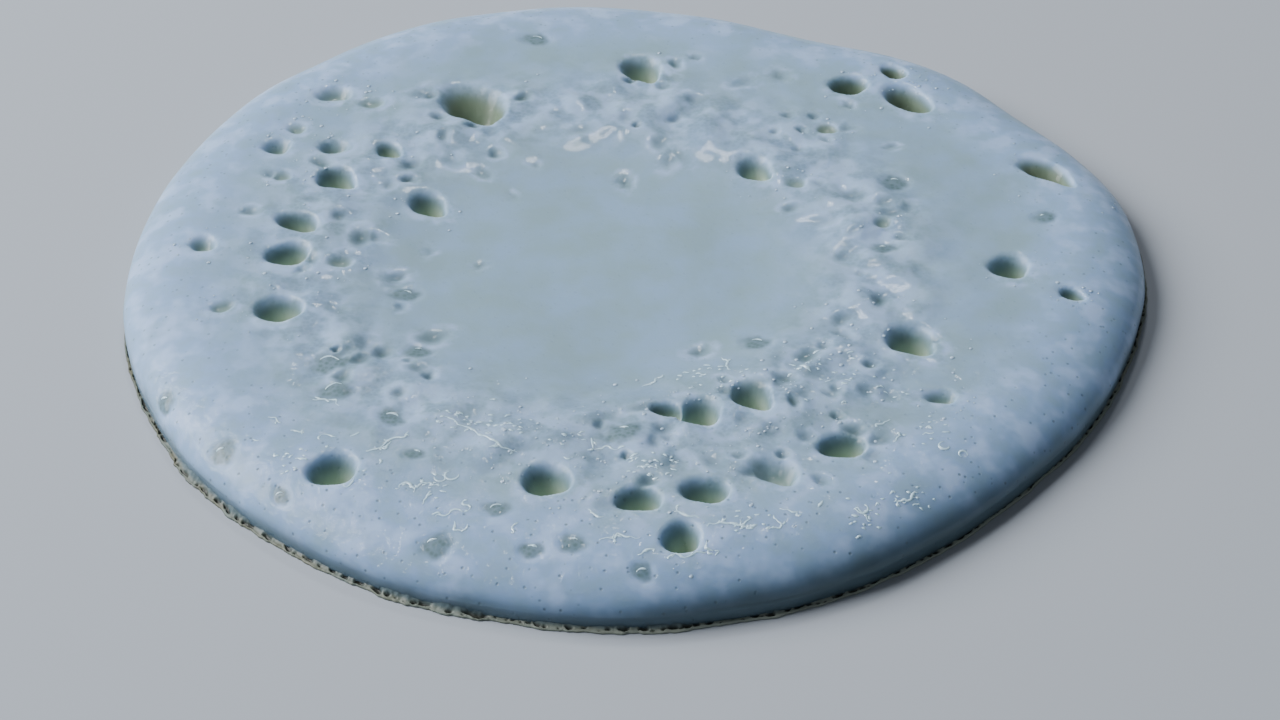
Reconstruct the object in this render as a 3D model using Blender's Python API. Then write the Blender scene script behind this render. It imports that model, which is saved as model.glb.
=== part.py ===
# Butter dosa: a thick round of rice batter, griddled underneath and still wet and full of holes on top.
# Metres, +Z up. It lies on its flat griddled side, and the origin is the middle of that side.
# +X is to the right of someone who looks along +Y. Bearings run from +X towards +Y, in degrees.

import math
from collections import namedtuple

import bmesh
import bpy
import numpy as np
from mathutils import Vector, noise
from mathutils.geometry import delaunay_2d_cdt

MM = 0.001

# The round
RADIUS = 71.4 * MM
CROWN_HEIGHT = 7.4 * MM
RIM_WIDTH = 11.0 * MM
BELLY_HEIGHT = 2.3 * MM
RIM_ARC = RIM_WIDTH * math.pi / 2
Swell = namedtuple("Swell", "bearing reach spread")
SWELLS = (
    Swell(12, 4.2 * MM, 15),
    Swell(33, -0.9 * MM, 6),
    Swell(45, 2.0 * MM, 10),
    Swell(67, -2.3 * MM, 10),
    Swell(80, 0.7 * MM, 40),
    Swell(118, 4.3 * MM, 25),
    Swell(212, -1.2 * MM, 26),
    Swell(316, -2.2 * MM, 15),
)
WOBBLE = 0.3 * MM
WOBBLE_LENGTH = 11 * MM

# The side under the belly, and the crisp lace of batter that the griddle set round it
TUCK_IN = 0.1 * MM
TUCK_HEIGHT = 1.0 * MM
LACE_REACH = 0.8 * MM
LACE_THICKNESS = 0.5 * MM
LACE_SCALLOP = 0.6
LACE_SCALLOP_LENGTH = 6 * MM
LACE_THINNING = Swell(325, 0.6, 32)

# The wet top: the ladle's dip in the middle, with a lumpy band round it
DIP_CENTRE = (-5 * MM, -2 * MM)
DIP_RADIUS = 33 * MM
DIP_DEPTH = 1.3 * MM
BAND_RADIUS = 41 * MM
BAND_WIDTH = 9 * MM
BAND_LUMP = 0.8 * MM
BAND_LUMP_LENGTH = 5 * MM
SWELL_LUMP = 0.4 * MM
SWELL_LUMP_LENGTH = 19 * MM

# Where bubbles burst: x, y, half width in mm, its stretch along the bearing that follows, and the depth in mm
Crater = namedtuple("Crater", "x y half_width stretch bearing depth")
CRATERS = (
    Crater(-36.9, -49.4, 2.5, 1.05, 160, 5.6),
    Crater(-9.1, -51.9, 2.5, 1.00, 0, 5.4),
    Crater(2.8, -55.4, 2.0, 1.20, 10, 4.8),
    Crater(11.4, -53.8, 2.1, 1.15, 25, 5.4),
    Crater(8.0, -62.8, 2.0, 1.10, 110, 5.2),
    Crater(10.7, -37.4, 2.3, 1.10, 150, 5.4),
    Crater(6.4, -36.3, 1.4, 1.30, 150, 4.2),
    Crater(18.0, -34.6, 2.1, 1.25, 110, 5.6),
    Crater(29.4, -44.4, 2.2, 1.15, 20, 4.8),
    Crater(20.6, -50.0, 2.2, 1.20, 165, 3.0),
    Crater(40.1, -21.8, 2.5, 1.10, 0, 5.4),
    Crater(55.0, -4.0, 2.1, 1.10, 150, 5.4),
    Crater(-47.1, -14.4, 2.3, 1.20, 160, 5.2),
    Crater(-47.2, -1.0, 2.2, 1.10, 0, 4.8),
    Crater(-46.1, 6.6, 1.9, 1.25, 150, 4.6),
    Crater(-41.7, 18.2, 2.2, 1.05, 0, 4.8),
    Crater(-27.9, 12.6, 2.0, 1.20, 160, 4.4),
    Crater(-21.7, 37.6, 3.3, 1.55, 130, 5.4),
    Crater(3.3, 48.4, 2.1, 1.55, 100, 5.0),
    Crater(35.0, 44.4, 2.1, 1.10, 0, 4.6),
    Crater(44.4, 40.0, 2.4, 1.25, 130, 5.2),
    Crater(20.0, 20.8, 1.9, 1.20, 140, 3.6),
    Crater(63.8, 20.2, 1.8, 2.10, 145, 3.6),
    Crater(-59.7, 1.8, 1.5, 1.20, 10, 2.6),
    Crater(-51.6, 27.4, 1.7, 1.10, 0, 2.8),
    Crater(-43.2, 27.4, 1.6, 1.20, 0, 3.0),
    Crater(-44.2, 42.5, 1.9, 1.25, 0, 2.2),
    Crater(42.9, -33.4, 1.4, 1.25, 0, 2.4),
    Crater(63.1, -10.2, 1.1, 1.30, 0, 3.3),
    Crater(-34.6, 25.8, 1.4, 1.30, 150, 3.3),
    Crater(-49.2, 32.7, 1.2, 1.20, 0, 1.0),
    Crater(-50.2, 19.3, 1.2, 1.20, 0, 1.0),
    Crater(-39.8, -2.5, 1.4, 1.30, 0, 1.0),
    Crater(-55.5, -12.8, 1.3, 1.20, 30, 1.0),
    Crater(30.8, 32.1, 1.2, 1.20, 0, 1.0),
    Crater(25.5, 17.4, 1.2, 1.30, 0, 1.0),
    Crater(42.2, 48.6, 1.5, 1.20, 0, 3.3),
    Crater(37.5, 7.0, 1.2, 1.20, 0, 1.0),
    Crater(-38.3, 40.0, 1.4, 1.20, 0, 1.0),
)
CRATER_FLOOR = 0.4
CRATER_LIP = 1.15
CRATER_RINGS = (0.38, 0.72, 0.96, 1.20)

# Where a bubble still has its skin: a shallow dimple with a little dome in it
Blister = namedtuple("Blister", "x y half_width stretch bearing")
BLISTERS = (
    Blister(-39.8, -25.9, 2.6, 1.20, 0),
    Blister(-38.4, -31.9, 2.3, 1.20, 0),
    Blister(-30.5, -37.9, 2.1, 1.10, 150),
    Blister(-52.3, -43.1, 2.2, 1.40, 60),
    Blister(-61.6, -31.0, 2.1, 1.50, 65),
    Blister(-43.9, -51.8, 1.5, 1.40, 80),
    Blister(-27.9, -22.7, 1.8, 1.20, 0),
    Blister(-30.5, -8.5, 1.9, 1.20, 0),
    Blister(-15.8, -56.3, 1.8, 1.10, 0),
    Blister(-23.4, -62.4, 2.3, 1.20, 70),
    Blister(-11.3, -63.9, 1.7, 1.10, 90),
    Blister(-6.1, -63.0, 1.8, 1.20, 110),
    Blister(2.7, -67.4, 1.5, 1.30, 90),
    Blister(0.0, -41.4, 2.8, 1.10, 0),
    Blister(-27.0, -45.5, 1.4, 1.20, 0),
    Blister(-14.1, 59.0, 2.1, 1.20, 0),
    Blister(18.2, -20.2, 2.0, 1.20, 0),
    Blister(39.7, 17.6, 2.1, 1.20, 20),
    Blister(60.9, 9.4, 1.7, 1.20, 0),
    Blister(37.0, 1.0, 1.6, 1.30, 0),
)
BLISTER_DEPTH = 0.45 * MM
BLISTER_DOME = 0.35 * MM
BLISTER_WALL = 0.75
BLISTER_LIP = 1.2
BLISTER_RINGS = (0.50, 0.85, 1.22)

# How close the points of the solid's surface lie
BORDER_POINTS = 180
FILL_SPACING = 3.0 * MM
FILL_GAP = 1.8 * MM
RING_SPACING = 1.3 * MM
RING_GAP = 0.2
FEWEST_ON_RING = 7

INSIDE_ONLY = 1
WELD_DISTANCE = 1e-7

COLLECTION_NAME = "butter_dosa"
BATTER_COLOUR = (0.56, 0.66, 0.74, 1.0)
BATTER_ROUGHNESS = 0.3
SMOOTH_ANGLE = math.radians(50)


# Empty the scene
def clear_scene():
    for obj in list(bpy.data.objects):
        bpy.data.objects.remove(obj)


def ease(share):
    """0 below 0, 1 above 1, and a half cosine wave between them."""
    return 0.5 - 0.5 * math.cos(math.pi * min(max(share, 0.0), 1.0))


# The outline seen from above
def bell(bearing, swell):
    """How much a swell adds at a bearing: its reach at its middle, and less and less away from it."""
    off = (bearing - swell.bearing + 180) % 360 - 180
    return swell.reach * math.exp(-0.5 * (off / swell.spread) ** 2)


def noise_round(bearing, radius, length, layer):
    """Noise that closes on itself round a circle, one bump each length or so."""
    turn = math.radians(bearing)
    size = radius / length
    return noise.noise(Vector((size * math.cos(turn), size * math.sin(turn), layer)))


def edge_radius(bearing):
    wobble = WOBBLE * noise_round(bearing, RADIUS, WOBBLE_LENGTH, 3.7)
    return RADIUS + sum(bell(bearing, swell) for swell in SWELLS) + wobble


# The skin is laid out as if peeled off and pressed flat, so that the rim's curve becomes a flat margin
def flat_edge(bearing):
    return edge_radius(bearing) - RIM_WIDTH + RIM_ARC


def fold(x, y):
    """The point of the plain round, and its outward normal, for a point of the flat skin."""
    distance = math.hypot(x, y)
    turn = math.atan2(y, x)
    outward = Vector((math.cos(turn), math.sin(turn), 0))
    bearing = math.degrees(turn)
    from_border = flat_edge(bearing) - distance
    if from_border >= RIM_ARC:
        return Vector((x, y, CROWN_HEIGHT)), Vector((0, 0, 1))
    tilt = from_border / RIM_ARC * math.pi / 2
    drop = CROWN_HEIGHT - BELLY_HEIGHT
    radius = edge_radius(bearing) - RIM_WIDTH + RIM_WIDTH * math.cos(tilt)
    point = outward * radius + Vector((0, 0, BELLY_HEIGHT + drop * math.sin(tilt)))
    normal = outward * (math.cos(tilt) / RIM_WIDTH) + Vector((0, 0, math.sin(tilt) / drop))
    return point, normal.normalized()


def unfold(x, y):
    """The point of the flat skin that folds to this place, seen from above."""
    distance = math.hypot(x, y)
    bearing = math.degrees(math.atan2(y, x))
    inner = edge_radius(bearing) - RIM_WIDTH
    if distance <= inner:
        return x, y
    tilt = math.acos(min((distance - inner) / RIM_WIDTH, 1.0))
    flat = flat_edge(bearing) - tilt / (math.pi / 2) * RIM_ARC
    return x * flat / distance, y * flat / distance


# Craters and blisters, as places on the flat skin
class Pit:
    """A hollow in the skin: its middle, its half widths along and across its bearing, and its depth."""

    def __init__(self, x, y, half_width, stretch, bearing, layer):
        self.x, self.y = unfold(x * MM, y * MM)
        self.across = half_width * MM
        self.along = self.across * stretch
        self.turn = math.radians(bearing)
        self.layer = layer

    def share(self, x, y):
        """0 in the middle and 1 on the lip, which is a little uneven."""
        dx, dy = x - self.x, y - self.y
        u = (dx * math.cos(self.turn) + dy * math.sin(self.turn)) / self.along
        v = (dy * math.cos(self.turn) - dx * math.sin(self.turn)) / self.across
        angle = math.atan2(v, u)
        uneven = 1 + 0.10 * math.sin(2 * angle + self.layer) + 0.06 * math.sin(3 * angle + 2.3 * self.layer)
        return math.hypot(u, v) / uneven

    def ring(self, share):
        """Points round the middle at this share of the half widths."""
        girth = math.pi * (self.across + self.along) * share
        count = max(FEWEST_ON_RING, round(girth / RING_SPACING))
        for step in range(count):
            angle = math.tau * step / count
            u = self.along * share * math.cos(angle)
            v = self.across * share * math.sin(angle)
            yield (
                self.x + u * math.cos(self.turn) - v * math.sin(self.turn),
                self.y + u * math.sin(self.turn) + v * math.cos(self.turn),
            )


class CraterPit(Pit):
    rings = CRATER_RINGS

    def __init__(self, crater, layer):
        super().__init__(*crater[:5], layer)
        self.deep = crater.depth * MM

    def depth(self, share):
        wall = 1 - ease((share - CRATER_FLOOR) / (CRATER_LIP - CRATER_FLOOR))
        return self.deep * wall * (1 - 0.1 * min(share, 1) ** 2)


class BlisterPit(Pit):
    rings = BLISTER_RINGS

    def __init__(self, blister, layer):
        super().__init__(*blister, layer)

    def depth(self, share):
        wall = 1 - ease((share - BLISTER_WALL) / (BLISTER_LIP - BLISTER_WALL))
        return BLISTER_DEPTH * wall - BLISTER_DOME * (1 - ease(share / BLISTER_WALL))


def make_pits():
    craters = [CraterPit(crater, layer) for layer, crater in enumerate(CRATERS)]
    blisters = [BlisterPit(blister, layer + 0.5) for layer, blister in enumerate(BLISTERS)]
    return craters + blisters


# The relief of the skin, measured out along its normal
def swell_height(x, y):
    lump = noise.noise(Vector((x / SWELL_LUMP_LENGTH, y / SWELL_LUMP_LENGTH, 0.4)))
    return SWELL_LUMP * lump


def band_height(x, y):
    away = (math.hypot(x - DIP_CENTRE[0], y - DIP_CENTRE[1]) - BAND_RADIUS) / BAND_WIDTH
    lump = noise.noise(Vector((x / BAND_LUMP_LENGTH, y / BAND_LUMP_LENGTH, 1.9)))
    return BAND_LUMP * math.exp(-away * away) * (0.6 + lump)


def dip_height(x, y):
    share = math.hypot(x - DIP_CENTRE[0], y - DIP_CENTRE[1]) / DIP_RADIUS
    return -DIP_DEPTH * (1 - ease((share - 0.6) / 0.6))


def skin_height(x, y, pits):
    height = swell_height(x, y) + band_height(x, y) + dip_height(x, y)
    return height - max(pit.depth(pit.share(x, y)) for pit in pits)


# Points of the flat skin: its border, rings round every pit, then an even fill
class Points:
    """A growing set of points that keeps each newcomer clear of the others."""

    def __init__(self, first):
        self.xy = np.array(first)

    def add(self, x, y, gap):
        if np.hypot(self.xy[:, 0] - x, self.xy[:, 1] - y).min() >= gap:
            self.xy = np.vstack((self.xy, (x, y)))


def bearings():
    return [360 * step / BORDER_POINTS for step in range(BORDER_POINTS)]


def border_points():
    turns = [math.radians(bearing) for bearing in bearings()]
    reach = [flat_edge(bearing) for bearing in bearings()]
    return [(radius * math.cos(turn), radius * math.sin(turn)) for radius, turn in zip(reach, turns)]


def inside_border(x, y, margin):
    return math.hypot(x, y) < flat_edge(math.degrees(math.atan2(y, x))) - margin


def skin_points(pits):
    points = Points(border_points())
    for pit in pits:
        gap = RING_GAP * pit.across
        points.add(pit.x, pit.y, gap)
        for share in pit.rings:
            for x, y in pit.ring(share):
                if inside_border(x, y, RING_SPACING):
                    points.add(x, y, gap)
    row_gap = FILL_SPACING * math.sqrt(3) / 2
    rows = math.ceil((RADIUS + RIM_ARC) / row_gap)
    for row in range(-rows, rows + 1):
        for column in range(-rows, rows + 1):
            x = (column + 0.5 * (row % 2)) * FILL_SPACING
            y = row * row_gap
            if inside_border(x, y, FILL_GAP):
                points.add(x, y, FILL_GAP)
    return points.xy


# The side below the belly: how far each ring stands out from the outline at a bearing, and its height
def lace_reach(bearing):
    bump = noise_round(bearing, RADIUS, LACE_SCALLOP_LENGTH, 8.2)
    return LACE_REACH * (1 + LACE_SCALLOP * bump) * (1 - bell(bearing, LACE_THINNING))


SIDE_RINGS = (
    (lambda bearing: -0.3 * TUCK_IN, (BELLY_HEIGHT + TUCK_HEIGHT) / 2),
    (lambda bearing: -TUCK_IN, TUCK_HEIGHT),
    (lambda bearing: 0.1 * LACE_REACH, LACE_THICKNESS),
    (lambda bearing: lace_reach(bearing), 0.55 * LACE_THICKNESS),
    (lambda bearing: 0.9 * lace_reach(bearing), 0.0),
)


def extrude_side(mesh, border):
    """Draw the border down ring by ring, and close the last ring with the flat base."""
    edges = border
    for outstand, height in SIDE_RINGS:
        drawn = bmesh.ops.extrude_edge_only(mesh, edges=edges)["geom"]
        for vert in (item for item in drawn if isinstance(item, bmesh.types.BMVert)):
            turn = math.atan2(vert.co.y, vert.co.x)
            bearing = math.degrees(turn)
            radius = edge_radius(bearing) + outstand(bearing)
            vert.co = (radius * math.cos(turn), radius * math.sin(turn), height)
        edges = [item for item in drawn if isinstance(item, bmesh.types.BMEdge)]
    base = bmesh.ops.edgeloop_fill(mesh, edges=edges)["faces"]
    bmesh.ops.triangulate(mesh, faces=base)


# The solid
def centre_of_outline():
    """The middle of the outline's bounding box, which becomes the origin."""
    reach = [(edge_radius(bearing) + lace_reach(bearing), math.radians(bearing)) for bearing in bearings()]
    xs = [radius * math.cos(turn) for radius, turn in reach]
    ys = [radius * math.sin(turn) for radius, turn in reach]
    return Vector(((min(xs) + max(xs)) / 2, (min(ys) + max(ys)) / 2, 0))


def build_mesh():
    pits = make_pits()
    border = list(range(BORDER_POINTS))
    loop = [(step, (step + 1) % BORDER_POINTS) for step in border]
    flat = [Vector(point) for point in skin_points(pits)]
    points, _, faces, *_ = delaunay_2d_cdt(flat, loop, [border], INSIDE_ONLY, WELD_DISTANCE)
    mesh = bmesh.new()
    verts = []
    for x, y in points:
        point, normal = fold(x, y)
        verts.append(mesh.verts.new(point + normal * skin_height(x, y, pits)))
    for corners in faces:
        mesh.faces.new([verts[corner] for corner in corners])
    extrude_side(mesh, [edge for edge in mesh.edges if edge.is_boundary])
    bmesh.ops.translate(mesh, verts=mesh.verts, vec=-centre_of_outline())
    bmesh.ops.recalc_face_normals(mesh, faces=mesh.faces)
    return mesh


def batter_material():
    material = bpy.data.materials.new("wet_rice_batter")
    material.use_nodes = True
    shader = material.node_tree.nodes["Principled BSDF"]
    shader.inputs["Base Color"].default_value = BATTER_COLOUR
    shader.inputs["Roughness"].default_value = BATTER_ROUGHNESS
    shader.inputs["Metallic"].default_value = 0.0
    return material


def main():
    clear_scene()
    collection = bpy.data.collections.new(COLLECTION_NAME)
    bpy.context.scene.collection.children.link(collection)
    data = bpy.data.meshes.new("dosa")
    mesh = build_mesh()
    mesh.to_mesh(data)
    mesh.free()
    data.materials.append(batter_material())
    data.shade_smooth()
    data.set_sharp_from_angle(angle=SMOOTH_ANGLE)
    collection.objects.link(bpy.data.objects.new("dosa", data))


main()
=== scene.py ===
import math
from collections import namedtuple

import bmesh
import bpy
import numpy as np
from bpy.props import FloatProperty, FloatVectorProperty, IntProperty, PointerProperty
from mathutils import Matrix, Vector, noise


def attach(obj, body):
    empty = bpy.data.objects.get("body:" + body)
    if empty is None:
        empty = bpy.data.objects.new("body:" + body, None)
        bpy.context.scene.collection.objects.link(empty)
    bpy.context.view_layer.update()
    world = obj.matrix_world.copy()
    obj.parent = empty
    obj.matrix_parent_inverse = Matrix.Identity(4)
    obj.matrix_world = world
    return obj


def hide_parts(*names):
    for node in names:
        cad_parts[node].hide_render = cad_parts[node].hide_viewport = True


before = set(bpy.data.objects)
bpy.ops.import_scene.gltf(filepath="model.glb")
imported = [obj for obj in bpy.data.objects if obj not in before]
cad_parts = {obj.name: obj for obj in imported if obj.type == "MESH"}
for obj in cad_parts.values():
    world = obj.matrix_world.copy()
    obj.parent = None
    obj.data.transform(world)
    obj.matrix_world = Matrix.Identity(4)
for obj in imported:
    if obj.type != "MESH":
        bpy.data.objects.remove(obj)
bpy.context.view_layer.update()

bl_info = {
    "name": "Butter Dosa",
    "version": (1, 0, 0),
    "blender": (4, 5, 0),
    "location": "View3D > Sidebar > Dosa",
    "description": "Makes a thick griddled dosa with a wet, pocked top and a lacy crust",
    "category": "Add Mesh",
}

# Metres, +Z up, the frame's own axes. Bearings run from +X towards +Y, in degrees.
MM = 0.001
NODE = "dosa"
BODY = "root"

# The round, with the same sizes as its solid
RADIUS = 71.4 * MM
CROWN_HEIGHT = 7.4 * MM
RIM_WIDTH = 11.0 * MM
BELLY_HEIGHT = 2.3 * MM
RIM_ARC = RIM_WIDTH * math.pi / 2
Swell = namedtuple("Swell", "bearing reach spread")
SWELLS = (
    Swell(12, 4.2 * MM, 15),
    Swell(33, -0.9 * MM, 6),
    Swell(45, 2.0 * MM, 10),
    Swell(67, -2.3 * MM, 10),
    Swell(80, 0.7 * MM, 40),
    Swell(118, 4.3 * MM, 25),
    Swell(212, -1.2 * MM, 26),
    Swell(316, -2.2 * MM, 15),
)
WOBBLE = 0.3 * MM
WOBBLE_LENGTH = 11 * MM
OUTLINE_STEPS = 180

# The side under the belly, and the lace of crust round the foot
TUCK_IN = 0.1 * MM
LACE_REACH = 0.8 * MM
LACE_SCALLOP = 0.6
LACE_SCALLOP_LENGTH = 6 * MM
LACE_THINNING = Swell(325, 0.6, 32)

# The wet top
DIP_CENTRE = np.array((-5, -2)) * MM
DIP_RADIUS = 33 * MM
DIP_DEPTH = 1.3 * MM
BAND_RADIUS = 41 * MM
BAND_WIDTH = 9 * MM
BAND_LUMP = 0.8 * MM
BAND_LUMP_LENGTH = 5 * MM
SWELL_LUMP = 0.4 * MM
SWELL_LUMP_LENGTH = 19 * MM

# Where bubbles burst: x, y, half width in mm, its stretch along the bearing that follows, and the depth in mm
Crater = namedtuple("Crater", "x y half_width stretch bearing depth")
CRATERS = tuple(Crater(*row) for row in (
    (-36.9, -49.4, 2.5, 1.05, 160, 5.6), (-9.1, -51.9, 2.5, 1.00, 0, 5.4),
    (2.8, -55.4, 2.0, 1.20, 10, 4.8), (11.4, -53.8, 2.1, 1.15, 25, 5.4),
    (8.0, -62.8, 2.0, 1.10, 110, 5.2), (10.7, -37.4, 2.3, 1.10, 150, 5.4),
    (6.4, -36.3, 1.4, 1.30, 150, 4.2), (18.0, -34.6, 2.1, 1.25, 110, 5.6),
    (29.4, -44.4, 2.2, 1.15, 20, 4.8), (20.6, -50.0, 2.2, 1.20, 165, 3.0),
    (40.1, -21.8, 2.5, 1.10, 0, 5.4), (55.0, -4.0, 2.1, 1.10, 150, 5.4),
    (-47.1, -14.4, 2.3, 1.20, 160, 5.2), (-47.2, -1.0, 2.2, 1.10, 0, 4.8),
    (-46.1, 6.6, 1.9, 1.25, 150, 4.6), (-41.7, 18.2, 2.2, 1.05, 0, 4.8),
    (-27.9, 12.6, 2.0, 1.20, 160, 4.4), (-21.7, 37.6, 3.3, 1.55, 130, 5.4),
    (3.3, 48.4, 2.1, 1.55, 100, 5.0), (35.0, 44.4, 2.1, 1.10, 0, 4.6),
    (44.4, 40.0, 2.4, 1.25, 130, 5.2), (20.0, 20.8, 1.9, 1.20, 140, 3.6),
    (63.8, 20.2, 1.8, 2.10, 145, 3.6), (-59.7, 1.8, 1.5, 1.20, 10, 2.6),
    (-51.6, 27.4, 1.7, 1.10, 0, 2.8), (-43.2, 27.4, 1.6, 1.20, 0, 3.0),
    (-44.2, 42.5, 1.9, 1.25, 0, 2.2), (42.9, -33.4, 1.4, 1.25, 0, 2.4),
    (63.1, -10.2, 1.1, 1.30, 0, 3.3), (-34.6, 25.8, 1.4, 1.30, 150, 3.3),
    (-49.2, 32.7, 1.2, 1.20, 0, 1.0), (-50.2, 19.3, 1.2, 1.20, 0, 1.0),
    (-39.8, -2.5, 1.4, 1.30, 0, 1.0), (-55.5, -12.8, 1.3, 1.20, 30, 1.0),
    (30.8, 32.1, 1.2, 1.20, 0, 1.0), (25.5, 17.4, 1.2, 1.30, 0, 1.0),
    (42.2, 48.6, 1.5, 1.20, 0, 3.3), (37.5, 7.0, 1.2, 1.20, 0, 1.0),
    (-38.3, 40.0, 1.4, 1.20, 0, 1.0),
))
CRATER_FLOOR = 0.3

# One no deeper than this is partly full of clear batter, so this share of its depth shows as a dent
HALF_FULL = 3.2 * MM
HALF_FULL_SHARE = 0.6

# A crater's lip is sharp on one side, and slumps into a funnel on the side that faces this bearing
SHARP_LIP = 0.95
SLUMPED_LIP = 2.2
SLUMP_BEARING = 118

# A hollow this many times as deep as its half width has its full tint, and the flattest has this share of it;
# the tint is partly the batter's grey-green and partly painted light and shade
SLIM = 2.1
LEAST_TINT = 0.45

# A hollow's floor is clear, with little batter left on it, past this half width or this far off on the right,
# where its darker tint is also painted shade over floors that the key lamp lights
WIDE = 2.6 * MM
WIDER = 0.7 * MM
FAR_OFF = 40 * MM

# Where a bubble still has its skin
Blister = namedtuple("Blister", "x y half_width stretch bearing")
BLISTERS = tuple(Blister(*row) for row in (
    (-39.8, -25.9, 2.6, 1.20, 0), (-38.4, -31.9, 2.3, 1.20, 0),
    (-30.5, -37.9, 2.1, 1.10, 150), (-52.3, -43.1, 2.2, 1.40, 60),
    (-61.6, -31.0, 2.1, 1.50, 65), (-43.9, -51.8, 1.5, 1.40, 80),
    (-27.9, -22.7, 1.8, 1.20, 0), (-30.5, -8.5, 1.9, 1.20, 0),
    (-15.8, -56.3, 1.8, 1.10, 0), (-23.4, -62.4, 2.3, 1.20, 70),
    (-11.3, -63.9, 1.7, 1.10, 90), (-6.1, -63.0, 1.8, 1.20, 110),
    (2.7, -67.4, 1.5, 1.30, 90), (0.0, -41.4, 2.8, 1.10, 0),
    (-27.0, -45.5, 1.4, 1.20, 0), (-14.1, 59.0, 2.1, 1.20, 0),
    (18.2, -20.2, 2.0, 1.20, 0), (39.7, 17.6, 2.1, 1.20, 20),
    (60.9, 9.4, 1.7, 1.20, 0), (37.0, 1.0, 1.6, 1.30, 0),
))
BLISTER_DEPTH = 0.14 * MM
BLISTER_DOME = 0.06 * MM
BLISTER_WALL = 0.7
BLISTER_LIP = 1.35

# Where a field of small dimples lies: its middle and spread in mm, and how many there are
DimpleField = namedtuple("DimpleField", "x y spread count")
DIMPLE_FIELDS = tuple(DimpleField(*row) for row in (
    (24, -37, 8, 26),
    (4, -46, 6, 12),
    (30, -24, 7, 12),
    (36, 6, 7, 12),
    (22, 30, 9, 16),
    (0, 38, 9, 18),
    (-22, 34, 7, 12),
    (-36, 18, 8, 18),
    (-38, -2, 6, 10),
    (-36, -28, 7, 12),
))
DIMPLE_SEED = 5
DIMPLE_HALF_WIDTH = (0.7, 1.7)
DIMPLE_DEPTH = (0.2 * MM, 0.75 * MM)

# Strokes of standing film, white as a painted highlight: where each starts, in mm, its bearing and its length
# in mm
Stroke = namedtuple("Stroke", "x y bearing length")
STROKES = tuple(Stroke(*row) for row in (
    (-23.9, -38.4, -34, 13.2), (-29.0, -52.4, 13, 6.5),
    (-25.3, -55.4, 69, 2.8), (-23.6, -57.5, 10, 4.5),
    (-21.2, -58.6, -57, 2.8), (-20.2, -54.7, -67, 2.6),
    (-13.5, -61.1, 77, 2.4), (-4.0, -42.4, -80, 2.3),
    (-3.6, -44.7, 0, 3.8), (-4.2, -56.7, -33, 2.9),
    (-2.8, -62.5, 4, 6.3), (2.1, -64.9, 28, 2.4),
    (5.4, -65.2, 13, 6.7), (10.7, -62.5, -58, 2.5),
    (6.7, -57.3, -19, 3.6), (10.8, -60.2, 18, 7.0),
    (15.0, -58.8, -32, 2.9), (18.5, -60.4, 70, 4.4),
    (20.1, -56.6, -13, 2.7), (25.0, -56.3, 63, 1.6),
    (29.9, -55.9, -50, 3.3), (34.8, -54.3, 29, 4.6),
    (35.5, -42.8, 49, 2.0), (39.4, -41.3, 20, 1.9),
    (33.4, -39.9, 43, 3.4), (23.9, -26.6, -45, 2.2),
    (13.4, -23.6, -69, 3.9), (2.6, -29.7, 45, 3.4),
    (-46.8, -37.6, -30, 2.6), (-43.6, -40.4, 6, 2.1),
    (-39.5, -41.8, 0, 2.6), (-35.6, -42.0, 41, 1.6),
    (-48.4, -41.7, -19, 1.3), (-45.3, -44.7, -37, 1.4),
    (-41.9, -46.0, -65, 5.0), (-33.3, -45.1, 32, 4.7),
    (-31.5, -44.5, 45, 5.4), (-35.8, -51.5, 38, 7.6),
    (-41.2, -33.8, -27, 5.3),
))

# Where film stands round a popped bubble, white as a painted highlight: the ring's middle and radius in mm
Ring = namedtuple("Ring", "x y radius")
RINGS = tuple(Ring(*row) for row in (
    (-21.9, -49.6, 0.9),
    (-23.4, -50.2, 0.7),
    (42.1, -43.4, 0.7),
    (44.5, -44.7, 0.6),
    (30.6, -56.0, 0.8),
))

# Where flecks of film, white as painted glints, lie close together: the middle of each cluster in mm, its
# spread and how many there are
Flecks = namedtuple("Flecks", "x y spread count")
FLECKS = tuple(Flecks(*row) for row in (
    (-22.2, -38.4, 1.2, 6), (-18.2, -39.4, 1.4, 7),
    (-14.2, -40.7, 1.2, 5), (-7.4, -43.9, 1.6, 5),
    (2.8, -48.2, 1.4, 8), (5.0, -48.2, 1.2, 5),
    (8.3, -28.6, 1.2, 4), (11.1, -28.1, 1.2, 4),
    (14.1, -27.5, 1.0, 4), (15.9, -59.2, 1.4, 8),
    (31.0, -57.4, 1.3, 9), (36.3, -53.3, 1.6, 8),
    (40.5, -40.5, 1.4, 5), (18.4, -32.3, 2.4, 5),
    (26.7, -26.8, 2.0, 5), (29.0, -29.0, 2.0, 5),
    (34.6, -30.1, 2.0, 5), (-42.0, -46.7, 1.6, 7),
    (-24.5, -51.5, 1.4, 6),
))


def linear(hex_colour):
    """An sRGB hex colour as the linear RGB that the shaders take."""
    shares = [int(hex_colour[i:i + 2], 16) / 255 for i in (1, 3, 5)]
    return [s / 12.92 if s <= 0.04045 else ((s + 0.055) / 1.055) ** 2.4 for s in shares]


def colour_property(name, description, hex_colour):
    return FloatVectorProperty(
        name=name, description=description, subtype="COLOR", size=3, min=0, max=1, default=linear(hex_colour)
    )


def length_property(name, description, default):
    return FloatProperty(name=name, description=description, unit="LENGTH", min=0, default=default)


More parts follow.
